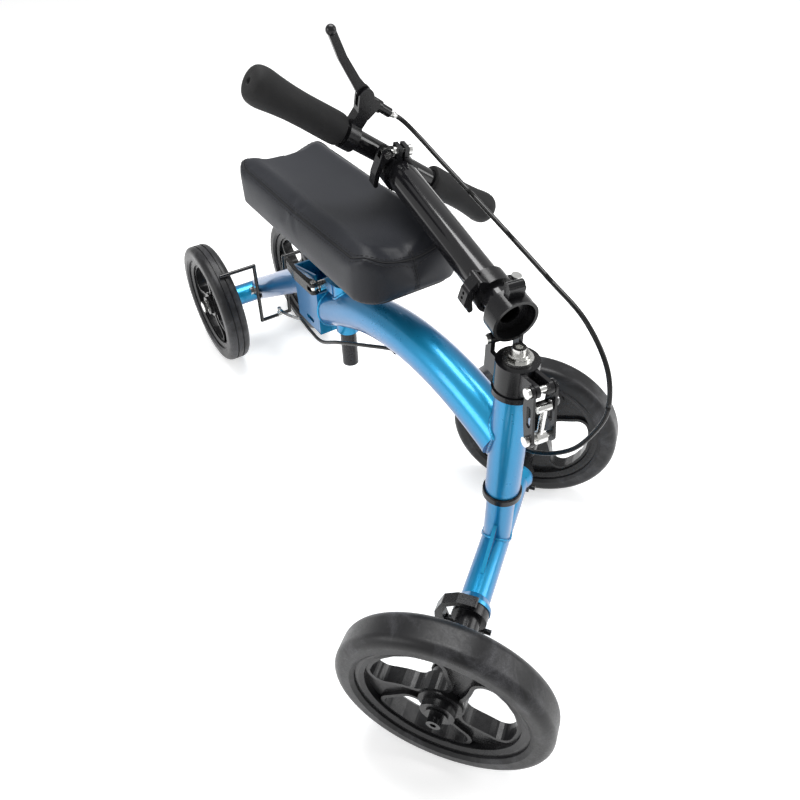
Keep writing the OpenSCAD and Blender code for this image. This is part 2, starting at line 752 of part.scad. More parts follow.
function pick(p, i) = p[max(0, min(len(p) - 1, i))];
function blend(a, b, c, d, t) = 0.5 * (2 * b + (c - a) * t + (2 * a - 5 * b + 4 * c - d) * t * t
  + (3 * b - a - 3 * c + d) * t * t * t);
function smooth(p, n) = [for (i = [0 : (len(p) - 1) * n]) let (k = floor(i / n), t = i / n - k)
  blend(pick(p, k - 1), pick(p, k), pick(p, k + 1), pick(p, k + 2), t)];
function unit(v) = v / norm(v);
function heading(p, i) = unit(pick(p, i + 1) - pick(p, i - 1));
function side(v) = unit(cross([0.31, 0.95, 0.05], v));

module tube(p, r, n) {
  m = len(p);
  skin = [for (i = [0 : m - 1]) let (v = heading(p, i), a = side(v), b = cross(v, a))
    for (k = [0 : n - 1]) p[i] + r * (cos(360 * k / n) * a + sin(360 * k / n) * b)];
  walls = [for (i = [0 : m - 2]) for (k = [0 : n - 1])
    [i * n + k, i * n + (k + 1) % n, (i + 1) * n + (k + 1) % n, (i + 1) * n + k]];
  first = [for (k = [n - 1 : -1 : 0]) k];
  last = [for (k = [0 : n - 1]) (m - 1) * n + k];
  polyhedron(skin, concat([first, last], walls), convexity = 8);
}

module brake_cable() color(black) placed() tube(smooth(cable_route, 3), cable_d / 2, 8);

module cable_clips() color(black) placed() for (x = [beam_top + 2, beam_top - 66]) {
  z = beam_c[1] + beam_r * cos(asin((beam_top - x) / beam_r));
  y = 0;
  difference() {
    union() {
      translate([x - 3, -3, z - beam_d / 2 - 8]) cube([6, 6, 10]);
      bar_x(0, z - beam_d / 2 - 9, x - 3, x + 3, 5.2);
    }
    bar_x(0, z - beam_d / 2 - 9, x - 5, x + 5, 4.1);
    translate([beam_c[0], 0, beam_c[1]]) arc_bar(beam_r, beam_d / 2, 60, 120);
  }
}

// ---- seat ----

module seat_post() color(silver) placed() translate([seat_x, 0, 149]) difference() {
  cylinder(r = post_r, h = plate_z - 149);
  translate([0, 0, -1]) cylinder(r = post_r - 2, h = plate_z - 149 - 4);
}

plate_l = 170;
plate_w = 84;

module screw_spots() for (x = [-70, 70]) for (y = [-30, 30])
  translate([seat_x + x, y]) children();

module seat_plate() color(black) placed() difference() {
  union() {
    translate([seat_x, 0, plate_z]) linear_extrude(4) rounded(plate_l, plate_w, 12);
    translate([seat_x, 0, plate_z - 22]) cylinder(r = post_r + 5, h = 23);
    for (a = [0, 90, 180, 270]) translate([seat_x, 0, 0]) rotate([0, 0, a]) plate_y(-1.5, 1.5)
      polygon([[post_r + 3, plate_z + 1], [post_r + 24, plate_z + 1], [post_r + 3, plate_z - 18]]);
  }
  translate([seat_x, 0, plate_z - 30]) cylinder(r = post_r, h = 30);
  screw_spots() translate([0, 0, plate_z - 1]) cylinder(r = 2.5, h = 8);
}

module seat_screws() color(silver) placed() screw_spots() {
  translate([0, 0, plate_z - 3]) cylinder(r = 5, h = 3);
  translate([0, 0, plate_z - 1]) cylinder(r = 2.5, h = 12);
}

pad_x = seat_x + 4;

module seat_board() color(black) placed() difference() {
  translate([pad_x, 0, board_z]) linear_extrude(10) rounded(pad_l - 10, pad_w - 10, 28);
  screw_spots() translate([0, 0, board_z - 1]) cylinder(r = 2.5, h = 8 + 0.1);
}

module knee_pad() color(leather) placed() translate([pad_x, 0, pad_z]) intersection() {
  linear_extrude(pad_h + 10) rounded(pad_l, pad_w, 32);
  // saddle section across the pad
  rotate([90, 0, 90]) linear_extrude(pad_l + 10, center = true) difference() {
    hull() for (s = [-1, 1]) {
      translate([s * (pad_w / 2 - 16), pad_h - 16]) circle(r = 16, $fn = 48);
      translate([s * (pad_w / 2 - 7), 7]) circle(r = 7, $fn = 48);
    }
    translate([0, pad_h + 88]) circle(r = 98, $fn = 120);
  }
  // low rounded ends
  plate_y(-pad_w, pad_w) hull() for (s = [-1, 1]) {
    translate([s * (pad_l / 2 - 18), pad_h - 18]) circle(r = 18, $fn = 48);
    translate([s * (pad_l / 2 - 7), 7]) circle(r = 7, $fn = 48);
  }
}

module seat_lever() color(black) placed() translate([skewer_x, cam_y, skewer_z])
  cam_lever([[0, 0, 6.2], [-14, -3, 3.6], [-44, -4, 3], [-74, 0, 2.8]], 15);

module hub_lever() translate([cam_x, ring_s + ring_w / 2, clamp_z]) rotate([90, 0, 0])
  cam_lever([[0, 0, 6.2], [-3, 17, 4], [3, 35, 3.4], [16, 44.5, 3], [34, 46.5, 2.6]], 12);

module hub_lever_left() color(black) in_fork() hub_lever();
module hub_lever_right() color(black) in_fork() mirror([0, 1, 0]) hub_lever();

// ---- folding latch ----

module latch_lever() color(black) in_stem() {
  both_sides() plate_y(9 + gap + 0.7, 12.4) difference() {
    chain([[latch_x, latch_z, 6.5], [latch_x + 1, latch_z - 22, 8], [draw_x, draw_z, 7]]);
    chain([[latch_x + 2, latch_z - 18, 3.2], [draw_x - 3, latch_z - 34, 3.2]]);
    translate([latch_x, latch_z]) circle(r = 3 + run);
    translate([draw_x, draw_z]) circle(r = 3 + run);
  }
  // web that joins the two plates behind the draw bolt
  translate([latch_x - 6, -11, latch_z - 34]) cube([3, 22, 14]);
}

module draw_bolt() color(silver) in_stem() {
  bar_y(draw_x, draw_z, -14.5, 14.5, 3);
  bar_y(draw_x, draw_z, -16.5, -12.7, 5);
  bar_y(draw_x, draw_z, -5, 5, 6);
  translate([draw_x, 0, draw_z]) cylinder(r = 3.2, h = 34);
  bar_y(draw_x - 1, draw_z + 34, -7, 7, 3.5);
}

main_beam();
head_tube();
seat_tube();
seat_bracket();
rear_arm();
rear_axle_tube();
rear_axle();
rear_axle_nuts();
seat_clamp_bolt();
headset_ring();
stem_base();
hinge_pin();
latch_pin();
brake_pivots();
brake_cable();
cable_clips();
fork_stem();
fork_cross_tube();
steerer();
steerer_bolt();
end_collars();
clamp_rings();
clamp_bolts();
front_stubs();
front_axle_bolts();
front_rim_left();
front_tyre_left();
front_rim_right();
front_tyre_right();
rear_rim_left();
rear_tyre_left();
rear_rim_right();
rear_tyre_right();
hinge_ring();
lower_column();
column_dog();
upper_column();
band_clamp();
band_bolt();
top_clamp();
top_clamp_bolt();
t_bar();
grips();
lever_bracket();
barrel_adjuster();
brake_lever();
brake_bar();
cable_anchor();
seat_post();
seat_plate();
seat_board();
knee_pad();
seat_screws();
latch_lever();
draw_bolt();
seat_lever();
band_lever();
top_lever();
hub_lever_left();
hub_lever_right();
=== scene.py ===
import json
import math
import random

import bmesh
import bpy
from mathutils import Matrix, Vector
from mathutils.bvhtree import BVHTree


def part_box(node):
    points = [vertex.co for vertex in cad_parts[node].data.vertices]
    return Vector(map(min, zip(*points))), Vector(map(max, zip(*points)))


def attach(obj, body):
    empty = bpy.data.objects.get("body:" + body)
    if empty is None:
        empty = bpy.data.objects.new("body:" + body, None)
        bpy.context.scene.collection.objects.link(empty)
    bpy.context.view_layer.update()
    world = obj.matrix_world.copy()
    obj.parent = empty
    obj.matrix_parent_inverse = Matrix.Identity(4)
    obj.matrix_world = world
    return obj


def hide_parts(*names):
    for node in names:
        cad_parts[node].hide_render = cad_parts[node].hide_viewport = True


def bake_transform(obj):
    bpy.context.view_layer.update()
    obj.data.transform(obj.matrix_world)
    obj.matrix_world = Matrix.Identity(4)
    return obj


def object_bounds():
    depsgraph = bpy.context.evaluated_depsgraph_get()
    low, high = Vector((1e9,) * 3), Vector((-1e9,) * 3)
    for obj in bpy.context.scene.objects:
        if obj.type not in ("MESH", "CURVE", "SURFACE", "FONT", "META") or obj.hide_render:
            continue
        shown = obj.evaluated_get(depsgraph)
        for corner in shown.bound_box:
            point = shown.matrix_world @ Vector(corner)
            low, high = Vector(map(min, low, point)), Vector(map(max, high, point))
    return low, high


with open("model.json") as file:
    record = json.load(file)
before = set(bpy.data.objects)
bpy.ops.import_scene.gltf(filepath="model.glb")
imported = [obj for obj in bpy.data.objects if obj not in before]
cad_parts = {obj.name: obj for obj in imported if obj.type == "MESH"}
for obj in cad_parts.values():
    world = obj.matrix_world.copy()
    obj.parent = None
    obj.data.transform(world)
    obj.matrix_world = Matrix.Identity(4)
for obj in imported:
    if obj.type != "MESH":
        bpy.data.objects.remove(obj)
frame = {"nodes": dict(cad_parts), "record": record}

cad_low, cad_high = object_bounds()
nodes = frame["nodes"]
record = frame["record"]
rng = random.Random(7)


# ---- camera ----

def aim_camera(place, yaw, down, roll, lens):
    """A camera at place, looking along yaw and down, rolled a little about its view."""
    yaw, down, roll = math.radians(yaw), math.radians(down), math.radians(roll)
    forward = Vector((math.cos(yaw) * math.cos(down), math.sin(yaw) * math.cos(down), -math.sin(down)))
    flat = forward.cross(Vector((0, 0, 1))).normalized()
    over = flat.cross(forward)
    right = flat * math.cos(roll) + over * math.sin(roll)
    up = over * math.cos(roll) - flat * math.sin(roll)
    data = bpy.data.cameras.new("camera")
    data.lens = lens
    data.sensor_width = 36
    data.clip_start, data.clip_end = 0.02, 50
    data.dof.use_dof = False
    cam = bpy.data.objects.new("camera", data)
    bpy.context.collection.objects.link(cam)
    turn = Matrix((right, up, -forward)).transposed().to_4x4()
    cam.matrix_world = Matrix.Translation(place) @ turn
    bpy.context.scene.camera = cam


aim_camera(Vector((0.6186, -0.3415, 0.7439)), yaw=148.0, down=41.7, roll=-1.5, lens=30.6)


# ---- node groups and materials ----

def group(name, inputs, outputs):
    tree = bpy.data.node_groups.new(name, "ShaderNodeTree")
    for label, kind, value in inputs:
        socket = tree.interface.new_socket(label, in_out="INPUT", socket_type=kind)
        socket.default_value = value
    for label, kind in outputs:
        tree.interface.new_socket(label, in_out="OUTPUT", socket_type=kind)
    return tree, tree.nodes.new("NodeGroupInput"), tree.nodes.new("NodeGroupOutput")


def add(tree, kind, inputs=None, **settings):
    node = tree.nodes.new(kind)
    for key, value in settings.items():
        setattr(node, key, value)
    for key, value in (inputs or {}).items():
        if isinstance(value, bpy.types.NodeSocket):
            tree.links.new(value, node.inputs[key])
        else:
            node.inputs[key].default_value = value
    return node


def math_node(tree, operation, a, b=0.0, clamp=False):
    node = tree.nodes.new("ShaderNodeMath")
    node.operation = operation
    node.use_clamp = clamp
    for i, value in enumerate((a, b)):
        if isinstance(value, bpy.types.NodeSocket):
            tree.links.new(value, node.inputs[i])
        else:
            node.inputs[i].default_value = value
    return node.outputs[0]


def mix_color(tree, factor, a, b):
    node = tree.nodes.new("ShaderNodeMix")
    node.data_type = "RGBA"
    for index, value in ((0, factor), (6, a), (7, b)):
        if isinstance(value, bpy.types.NodeSocket):
            tree.links.new(value, node.inputs[index])
        else:
            node.inputs[index].default_value = value
    return node.outputs[2]


FLOAT, COLOR, VECTOR = "NodeSocketFloat", "NodeSocketColor", "NodeSocketVector"


def make_finish_group():
    """Uneven gloss and a fine surface texture, shared by the paints, metals and plastics."""
    tree, given, result = group(
        "surface_finish",
        [("Scale", FLOAT, 300.0), ("Low", FLOAT, 0.2), ("High", FLOAT, 0.4), ("Depth", FLOAT, 0.1)],
        [("Roughness", FLOAT), ("Normal", VECTOR), ("Variation", FLOAT)],
    )
    place = add(tree, "ShaderNodeTexCoord").outputs["Object"]
    fine = add(tree, "ShaderNodeTexNoise", {"Vector": place, "Scale": given.outputs["Scale"], "Detail": 4.0})
    broad = add(tree, "ShaderNodeTexNoise", {
        "Vector": place, "Scale": 14.0, "Detail": 6.0, "Roughness": 0.65})
    blend = math_node(tree, "ADD", math_node(tree, "MULTIPLY", fine.outputs[0], 0.4),
                      math_node(tree, "MULTIPLY", broad.outputs[0], 0.6))
    rough = add(tree, "ShaderNodeMapRange", {
        0: blend, 1: 0.35, 2: 0.65, 3: given.outputs["Low"], 4: given.outputs["High"]})
    bump = add(tree, "ShaderNodeBump", {
        "Strength": given.outputs["Depth"], "Distance": 0.0006, "Height": fine.outputs[0]})
    tree.links.new(rough.outputs[0], result.inputs["Roughness"])
    tree.links.new(bump.outputs[0], result.inputs["Normal"])
    tree.links.new(broad.outputs[0], result.inputs["Variation"])
    return tree


def make_dust_group():
    """Pale dust and handling marks: broad patches broken up by fine scratches."""
    tree, given, result = group(
        "dust_marks", [("Amount", FLOAT, 0.3), ("Scale", FLOAT, 40.0)], [("Mask", FLOAT)])
    place = add(tree, "ShaderNodeTexCoord").outputs["Object"]
    patch = add(tree, "ShaderNodeTexNoise", {"Vector": place, "Scale": given.outputs["Scale"], "Detail": 8.0,
                                             "Roughness": 0.7, "Distortion": 0.6})
    fleck = add(tree, "ShaderNodeTexNoise", {"Vector": place, "Scale": 900.0, "Detail": 3.0})
    wide = add(tree, "ShaderNodeMapRange", {0: patch.outputs[0], 1: 0.48, 2: 0.72, 3: 0.0, 4: 1.0})
    tight = add(tree, "ShaderNodeMapRange", {0: fleck.outputs[0], 1: 0.35, 2: 0.7, 3: 0.35, 4: 1.0})
    mask = math_node(tree, "MULTIPLY", wide.outputs[0], tight.outputs[0])
    tree.links.new(math_node(tree, "MULTIPLY", mask, given.outputs["Amount"], True), result.inputs["Mask"])
    return tree


FINISH = make_finish_group()
DUST = make_dust_group()


def new_material(name):
    mat = bpy.data.materials.new(name)
    mat.use_nodes = True
    tree = mat.node_tree
    return mat, tree, tree.nodes["Principled BSDF"]


def use_group(tree, shared, **values):
    node = tree.nodes.new("ShaderNodeGroup")
    node.node_tree = shared
    for key, value in values.items():
        node.inputs[key].default_value = value
    return node


def finished(name, color, low, high, depth=0.1, scale=300.0, metallic=0.0, coat=0.0, dust=0.0,
             dust_color=(0.2, 0.19, 0.18, 1), tint=0.12, gloss=0.35):
    """A paint, metal or plastic with uneven gloss, slight colour variation and some dust."""
    mat, tree, bsdf = new_material(name)
    finish = use_group(tree, FINISH, Scale=scale, Low=low, High=high, Depth=depth)
    dark = tuple(c * (1 - tint) for c in color) + (1,)
    pale = tuple(min(1, c * (1 + tint)) for c in color) + (1,)
    base = mix_color(tree, finish.outputs["Variation"], dark, pale)
    if dust:
        marks = use_group(tree, DUST, Amount=dust)
        base = mix_color(tree, marks.outputs["Mask"], base, dust_color)
    tree.links.new(base, bsdf.inputs["Base Color"])
    tree.links.new(finish.outputs["Roughness"], bsdf.inputs["Roughness"])
    tree.links.new(finish.outputs["Normal"], bsdf.inputs["Normal"])
    bsdf.inputs["Metallic"].default_value = metallic
    bsdf.inputs["Specular IOR Level"].default_value = gloss
    bsdf.inputs["Coat Weight"].default_value = coat
    bsdf.inputs["Coat Roughness"].default_value = 0.06
    return mat


def candy_paint_with_painted_highlight(name, painted_edge_shade_blue, painted_highlight_blue):
    """Clear-coated metallic blue with painted highlight and painted shade: the base colour is lighter where
    the surface turns to the viewer and darker towards its outline.
    """
    mat, tree, bsdf = new_material(name)
    finish = use_group(tree, FINISH, Scale=220.0, Low=0.26, High=0.34, Depth=0.0)
    facing = add(tree, "ShaderNodeLayerWeight", {"Blend": 0.45}).outputs["Facing"]
    place = add(tree, "ShaderNodeTexCoord").outputs["Object"]
    flakes = add(tree, "ShaderNodeTexVoronoi", {"Vector": place, "Scale": 900.0}).outputs["Distance"]
    # painted highlight and shade: the view-facing weight blends from the light blue in the middle of a tube
    # to the dark blue at its outline
    edge = add(tree, "ShaderNodeMapRange", {0: facing, 1: 0.0, 2: 0.85, 3: 0.0, 4: 1.0}).outputs[0]
    base = mix_color(tree, edge, painted_highlight_blue, painted_edge_shade_blue)
    sparkle = mix_color(tree, math_node(tree, "MULTIPLY", flakes, 0.05), base, (0.2, 0.6, 0.9, 1))
    tree.links.new(sparkle, bsdf.inputs["Base Color"])
    tree.links.new(finish.outputs["Roughness"], bsdf.inputs["Roughness"])
    bsdf.inputs["Metallic"].default_value = 0.55
    bsdf.inputs["Coat Weight"].default_value = 0.4
    bsdf.inputs["Coat Roughness"].default_value = 0.08
    return mat


def tyre_material(name):
    """Black polyurethane with grey scuffs and a faint moulded texture."""
    mat, tree, bsdf = new_material(name)
    finish = use_group(tree, FINISH, Scale=500.0, Low=0.26, High=0.5, Depth=0.08)
    marks = use_group(tree, DUST, Amount=0.7, Scale=22.0)
    base = mix_color(tree, finish.outputs["Variation"], (0.007, 0.007, 0.008, 1), (0.013, 0.013, 0.014, 1))
    base = mix_color(tree, marks.outputs["Mask"], base, (0.11, 0.11, 0.12, 1))
    tree.links.new(base, bsdf.inputs["Base Color"])
    tree.links.new(finish.outputs["Roughness"], bsdf.inputs["Roughness"])
    tree.links.new(finish.outputs["Normal"], bsdf.inputs["Normal"])
    bsdf.inputs["Specular IOR Level"].default_value = 0.3
    return mat


def leatherette(name, half_x, half_y, centre, corner, seam):
    """Grained leatherette with two sewn seam lines that follow the pad's outline; painted shade darkens the
    colour along the indented seam.
    """
    mat, tree, bsdf = new_material(name)
    place = add(tree, "ShaderNodeTexCoord").outputs["Object"]
    local = add(tree, "ShaderNodeVectorMath", {0: place, 1: centre}, operation="SUBTRACT").outputs[0]
    split = add(tree, "ShaderNodeSeparateXYZ", {0: local})
    qx = math_node(tree, "SUBTRACT", math_node(tree, "ABSOLUTE", split.outputs[0]), half_x - corner)
    qy = math_node(tree, "SUBTRACT", math_node(tree, "ABSOLUTE", split.outputs[1]), half_y - corner)
    ax = math_node(tree, "MAXIMUM", qx, 0.0)
    ay = math_node(tree, "MAXIMUM", qy, 0.0)
    outer = math_node(tree, "SQRT", math_node(tree, "ADD", math_node(tree, "MULTIPLY", ax, ax),
                                              math_node(tree, "MULTIPLY", ay, ay)))
    inner = math_node(tree, "MINIMUM", math_node(tree, "MAXIMUM", qx, qy), 0.0)
    inset = math_node(tree, "SUBTRACT", corner, math_node(tree, "ADD", outer, inner))
    off = math_node(tree, "ABSOLUTE", math_node(tree, "SUBTRACT", inset, seam))
    groove_and_painted_shade = add(tree, "ShaderNodeMapRange", {0: off, 1: 0.0002, 2: 0.0013, 3: 1.0, 4: 0.0}).outputs[0]
    pucker = add(tree, "ShaderNodeMapRange", {0: off, 1: 0.001, 2: 0.007, 3: 1.0, 4: 0.0}).outputs[0]
    cells = add(tree, "ShaderNodeTexVoronoi", {"Vector": place, "Scale": 900.0}, feature="F1")
    grain = cells.outputs["Distance"]
    crease = add(tree, "ShaderNodeTexNoise", {"Vector": place, "Scale": 55.0, "Detail": 5.0}).outputs[0]
    soft = math_node(tree, "MULTIPLY", math_node(tree, "MULTIPLY", crease, pucker), 0.9)
    raised = math_node(tree, "ADD", math_node(tree, "MULTIPLY", grain, 0.16), soft)
    height = math_node(tree, "SUBTRACT", raised, math_node(tree, "MULTIPLY", groove_and_painted_shade, 1.3))
    bump = add(tree, "ShaderNodeBump", {"Strength": 0.55, "Distance": 0.0012, "Height": height})
    broad = add(tree, "ShaderNodeTexNoise", {"Vector": place, "Scale": 9.0, "Detail": 4.0}).outputs[0]
    base = mix_color(tree, broad, (0.009, 0.010, 0.013, 1), (0.014, 0.015, 0.020, 1))
    # painted shade: the colour goes darker along the indented seam, where shade falls in the recess
    base = mix_color(tree, math_node(tree, "MULTIPLY", groove_and_painted_shade, 0.75), base, (0.006, 0.006, 0.007, 1))
    rough = add(tree, "ShaderNodeMapRange", {0: broad, 1: 0.3, 2: 0.7, 3: 0.40, 4: 0.52}).outputs[0]
    tree.links.new(base, bsdf.inputs["Base Color"])
    tree.links.new(rough, bsdf.inputs["Roughness"])
    tree.links.new(bump.outputs[0], bsdf.inputs["Normal"])
    bsdf.inputs["Specular IOR Level"].default_value = 0.28
    bsdf.inputs["Sheen Weight"].default_value = 0.03
    bsdf.inputs["Sheen Tint"].default_value = (0.6, 0.7, 0.85, 1)
    return mat


def thread_material(name):
    mat, tree, bsdf = new_material(name)
    place = add(tree, "ShaderNodeTexCoord").outputs["Object"]
    twist = add(tree, "ShaderNodeTexWave", {"Vector": place, "Scale": 900.0, "Distortion": 1.0},
                bands_direction="DIAGONAL").outputs[1]
    base = mix_color(tree, twist, (0.004, 0.004, 0.005, 1), (0.014, 0.014, 0.016, 1))
    bump = add(tree, "ShaderNodeBump", {"Strength": 0.5, "Distance": 0.0002, "Height": twist})
    tree.links.new(base, bsdf.inputs["Base Color"])
    tree.links.new(bump.outputs[0], bsdf.inputs["Normal"])
    bsdf.inputs["Roughness"].default_value = 0.75
    return mat


pad_low, pad_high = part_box("knee_pad")
pad_mid = (pad_low + pad_high) / 2
pad_half = (pad_high - pad_low) / 2
PAD_CORNER = 0.032      # radius of the pad's corners in plan
SEAM = 0.006            # how far the top seam lies inside the pad's outline
CABLE_R = 0.0025        # radius of the brake cable's sleeve

MATERIALS = {
    # blue paint with painted shade at the outlines and a painted highlight where it faces the camera
    "blue_paint": candy_paint_with_painted_highlight("blue_candy_painted_highlight", (0.002, 0.055, 0.22, 1), (0.004, 0.34, 0.62, 1)),
    "black_paint": finished("gloss_black", (0.006, 0.006, 0.007), 0.10, 0.2, depth=0.0, coat=0.35),
    "black_casting": finished("satin_black", (0.007, 0.007, 0.008), 0.16, 0.3, depth=0.12, scale=700.0),
    "lever_black": finished("lever_black", (0.007, 0.007, 0.008), 0.18, 0.32, depth=0.1, scale=500.0),
    "zinc": finished("zinc_plate", (0.74, 0.74, 0.72), 0.16, 0.32, depth=0.08, scale=420.0, metallic=1.0),
    "post_steel": finished("post_dark_steel", (0.03, 0.03, 0.032), 0.2, 0.34, depth=0.02, metallic=0.6),
    "cable_sleeve": finished("cable_black", (0.006, 0.006, 0.006), 0.2, 0.32, depth=0.0),
    "grip_foam": finished("grip_rubber", (0.012, 0.012, 0.0125), 0.55, 0.75, depth=0.45,
                          scale=1100.0, dust=0.04, gloss=0.22),
    "wheel_plastic": finished("wheel_grey", (0.010, 0.010, 0.011), 0.22, 0.38, depth=0.06,
                              scale=260.0, dust=0.06, gloss=0.3),
    "tyre_rubber": tyre_material("tyre_black"),
    "pad_leatherette": leatherette("leatherette", pad_half.x, pad_half.y, pad_mid, PAD_CORNER, SEAM),
    "pad_board": finished("board_black", (0.014, 0.013, 0.013), 0.5, 0.7, depth=0.3, scale=200.0),
}
THREAD = thread_material("thread_grey")

slots = {entry["node"]: entry["material_slot"] for entry in record["subparts"]}
for name, obj in nodes.items():
    obj.data.materials.clear()
    obj.data.materials.append(MATERIALS[slots[name]])


# ---- shared mesh helpers ----

def finish_piece(name, bm, material, body):
    mesh = bpy.data.meshes.new(name)
    bmesh.ops.recalc_face_normals(bm, faces=bm.faces[:])
    bm.to_mesh(mesh)
    bm.free()
    for face in mesh.polygons:
        face.use_smooth = True
    obj = bpy.data.objects.new(name, mesh)
    bpy.context.collection.objects.link(obj)
    mesh.materials.append(material)
    if body:
        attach(obj, body)
    return obj


def sweep(bm, points, radii, sides=12, closed=False):
    """A round tube through the points. radii is one number or one for each point."""
    count = len(points)
    if not isinstance(radii, (list, tuple)):
        radii = [radii] * count
    rings, normal = [], None
    for i, point in enumerate(points):
        before = points[i - 1] if closed or i else points[i]
        after = points[(i + 1) % count] if closed or i < count - 1 else points[i]
        along = (after - before).normalized()
        if normal is None:
            normal = along.orthogonal().normalized()
        normal = (normal - along * normal.dot(along)).normalized()
        across = along.cross(normal)
        ring = []
        for k in range(sides):
            angle = 2 * math.pi * k / sides
            out = normal * math.cos(angle) + across * math.sin(angle)
            ring.append(bm.verts.new(point + out * radii[i]))
        rings.append(ring)
    for i in range(count if closed else count - 1):
        a, b = rings[i], rings[(i + 1) % count]
        for k in range(sides):
            bm.faces.new((a[k], a[(k + 1) % sides], b[(k + 1) % sides], b[k]))
    if not closed:
        bm.faces.new(rings[0][::-1])
        bm.faces.new(rings[-1])


def lathe(bm, start, along, profile, sides=48):
    """Turns (distance, radius) pairs about the line from start along the given direction."""
    side = along.orthogonal().normalized()
    over = along.cross(side)
    rings = []
    for distance, radius in profile:
        centre = start + along * distance
        if radius < 1e-6:
            rings.append([bm.verts.new(centre)])
            continue
        rings.append([bm.verts.new(centre + (side * math.cos(2 * math.pi * k / sides)
                                             + over * math.sin(2 * math.pi * k / sides)) * radius)
                      for k in range(sides)])
    for a, b in zip(rings, rings[1:]):
        for k in range(sides):
            n = (k + 1) % sides
            if len(a) == 1:
                bm.faces.new((a[0], b[n], b[k]))
            elif len(b) == 1:
                bm.faces.new((a[k], a[n], b[0]))
            else:
                bm.faces.new((a[k], a[n], b[n], b[k]))


def smooth_line(points, steps):
    """Points on a smooth curve through the given ones."""
    line = []
    for i in range(len(points) - 1):
        a, b = points[max(i - 1, 0)], points[i]
        c, d = points[i + 1], points[min(i + 2, len(points) - 1)]
        for s in range(steps):
            t = s / steps
            line.append(0.5 * (2 * b + (c - a) * t + (2 * a - 5 * b + 4 * c - d) * t * t
                               + (3 * b - a - 3 * c + d) * t ** 3))
    line.append(points[-1].copy())
    return line


# ---- knee pad ----

def simulate_pad(obj, low, cap):
    """Fills the pad like stuffed fabric, then limits how far any point has moved."""
    start = [v.co.copy() for v in obj.data.vertices]
    pin = obj.vertex_groups.new(name="pin")
    pin.add([i for i, co in enumerate(start) if co.z < low + 0.006], 1.0, "REPLACE")
    cloth = obj.modifiers.new("cloth", "CLOTH")
    cloth.settings.use_pressure = True
    cloth.settings.uniform_pressure_force = 4.0
    cloth.settings.tension_stiffness = 40
    cloth.settings.compression_stiffness = 40
    cloth.settings.bending_stiffness = 6
    cloth.settings.effector_weights.gravity = 0
    cloth.settings.vertex_group_mass = "pin"
    cloth.settings.pin_stiffness = 1.0
    cloth.point_cache.frame_start, cloth.point_cache.frame_end = 1, 20
    scene = bpy.context.scene
    for step in range(1, 21):
        scene.frame_set(step)
    dg = bpy.context.evaluated_depsgraph_get()
    moved = [v.co.copy() for v in obj.evaluated_get(dg).data.vertices]
    obj.modifiers.remove(cloth)
    for vertex, a, b in zip(obj.data.vertices, start, moved):
        step = b - a
        vertex.co = a + step * min(1.0, cap / max(step.length, 1e-9))
    scene.frame_set(1)


def make_pad():
    """The sewn cover: it wraps the foam and is pulled down over the edge of the board."""
    source = nodes["knee_pad"]
    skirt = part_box("seat_board")[0].z + 0.0012
    mesh = source.data.copy()
    obj = bpy.data.objects.new("knee_pad_cover", mesh)
    bpy.context.collection.objects.link(obj)
    shrink = -0.0005
    for v in mesh.vertices:
        part = v.co - pad_mid
        v.co.x = pad_mid.x + part.x * (1 - shrink / pad_half.x)
        v.co.y = pad_mid.y + part.y * (1 - shrink / pad_half.y)
        if v.co.z < pad_low.z + 0.012:
            v.co.z -= pad_low.z - skirt
        else:
            v.co.z -= 0.0015
    remesh = obj.modifiers.new("remesh", "REMESH")
    remesh.mode = "VOXEL"
    remesh.voxel_size = 0.004
    even = obj.modifiers.new("even", "SMOOTH")
    even.factor, even.iterations = 0.5, 2
    dg = bpy.context.evaluated_depsgraph_get()
    fine = bpy.data.meshes.new_from_object(obj.evaluated_get(dg))
    obj.modifiers.clear()
    obj.data = fine
    obj.data.name = "knee_pad_cover"
    simulate_pad(obj, skirt, 0.005)
    for v in obj.data.vertices:
        v.co.z = max(v.co.z, skirt)
    soften = obj.modifiers.new("soften", "SMOOTH")
    soften.factor, soften.iterations = 0.5, 1
    divide = obj.modifiers.new("divide", "SUBSURF")
    divide.levels = divide.render_levels = 1
    dg = bpy.context.evaluated_depsgraph_get()
    final = bpy.data.meshes.new_from_object(obj.evaluated_get(dg))
    obj.modifiers.clear()
    obj.data = final
    obj.data.name = "knee_pad_cover"
    for face in obj.data.polygons:
        face.use_smooth = True
    obj.data.materials.clear()
    obj.data.materials.append(MATERIALS["pad_leatherette"])
    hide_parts("knee_pad")
    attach(obj, "seat")
    return obj


def outline(inset, step):
    """Points round the pad's plan at a distance inside its edge, evenly spaced."""
    hx, hy = pad_half.x - inset, pad_half.y - inset
    r = PAD_CORNER - inset
    dense = []
    for cx, cy, first in ((1, 1, 0), (-1, 1, 90), (-1, -1, 180), (1, -1, 270)):
        for k in range(13):
            angle = math.radians(first + 90 * k / 12)
            dense.append(Vector((pad_mid.x + cx * (hx - r) + r * math.cos(angle),
                                 pad_mid.y + cy * (hy - r) + r * math.sin(angle), 0)))
    dense.append(dense[0])
    points, left = [], 0.0
    for a, b in zip(dense, dense[1:]):
        length = (b - a).length
        while left < length:
            points.append(a.lerp(b, left / length))
            left += step
        left -= length
    return points


def seam_cord(bm, tree, points):
    """The dark line where two panels of the cover meet, drawn just into the surface."""
    line = []
    for point in points:
        hit, normal, _, _ = tree.ray_cast(Vector((point.x, point.y, pad_high.z + 0.1)), Vector((0, 0, -1)))
        if hit is not None:
            line.append(hit + normal * 0.00015)
    sweep(bm, line, 0.0006, sides=6, closed=True)


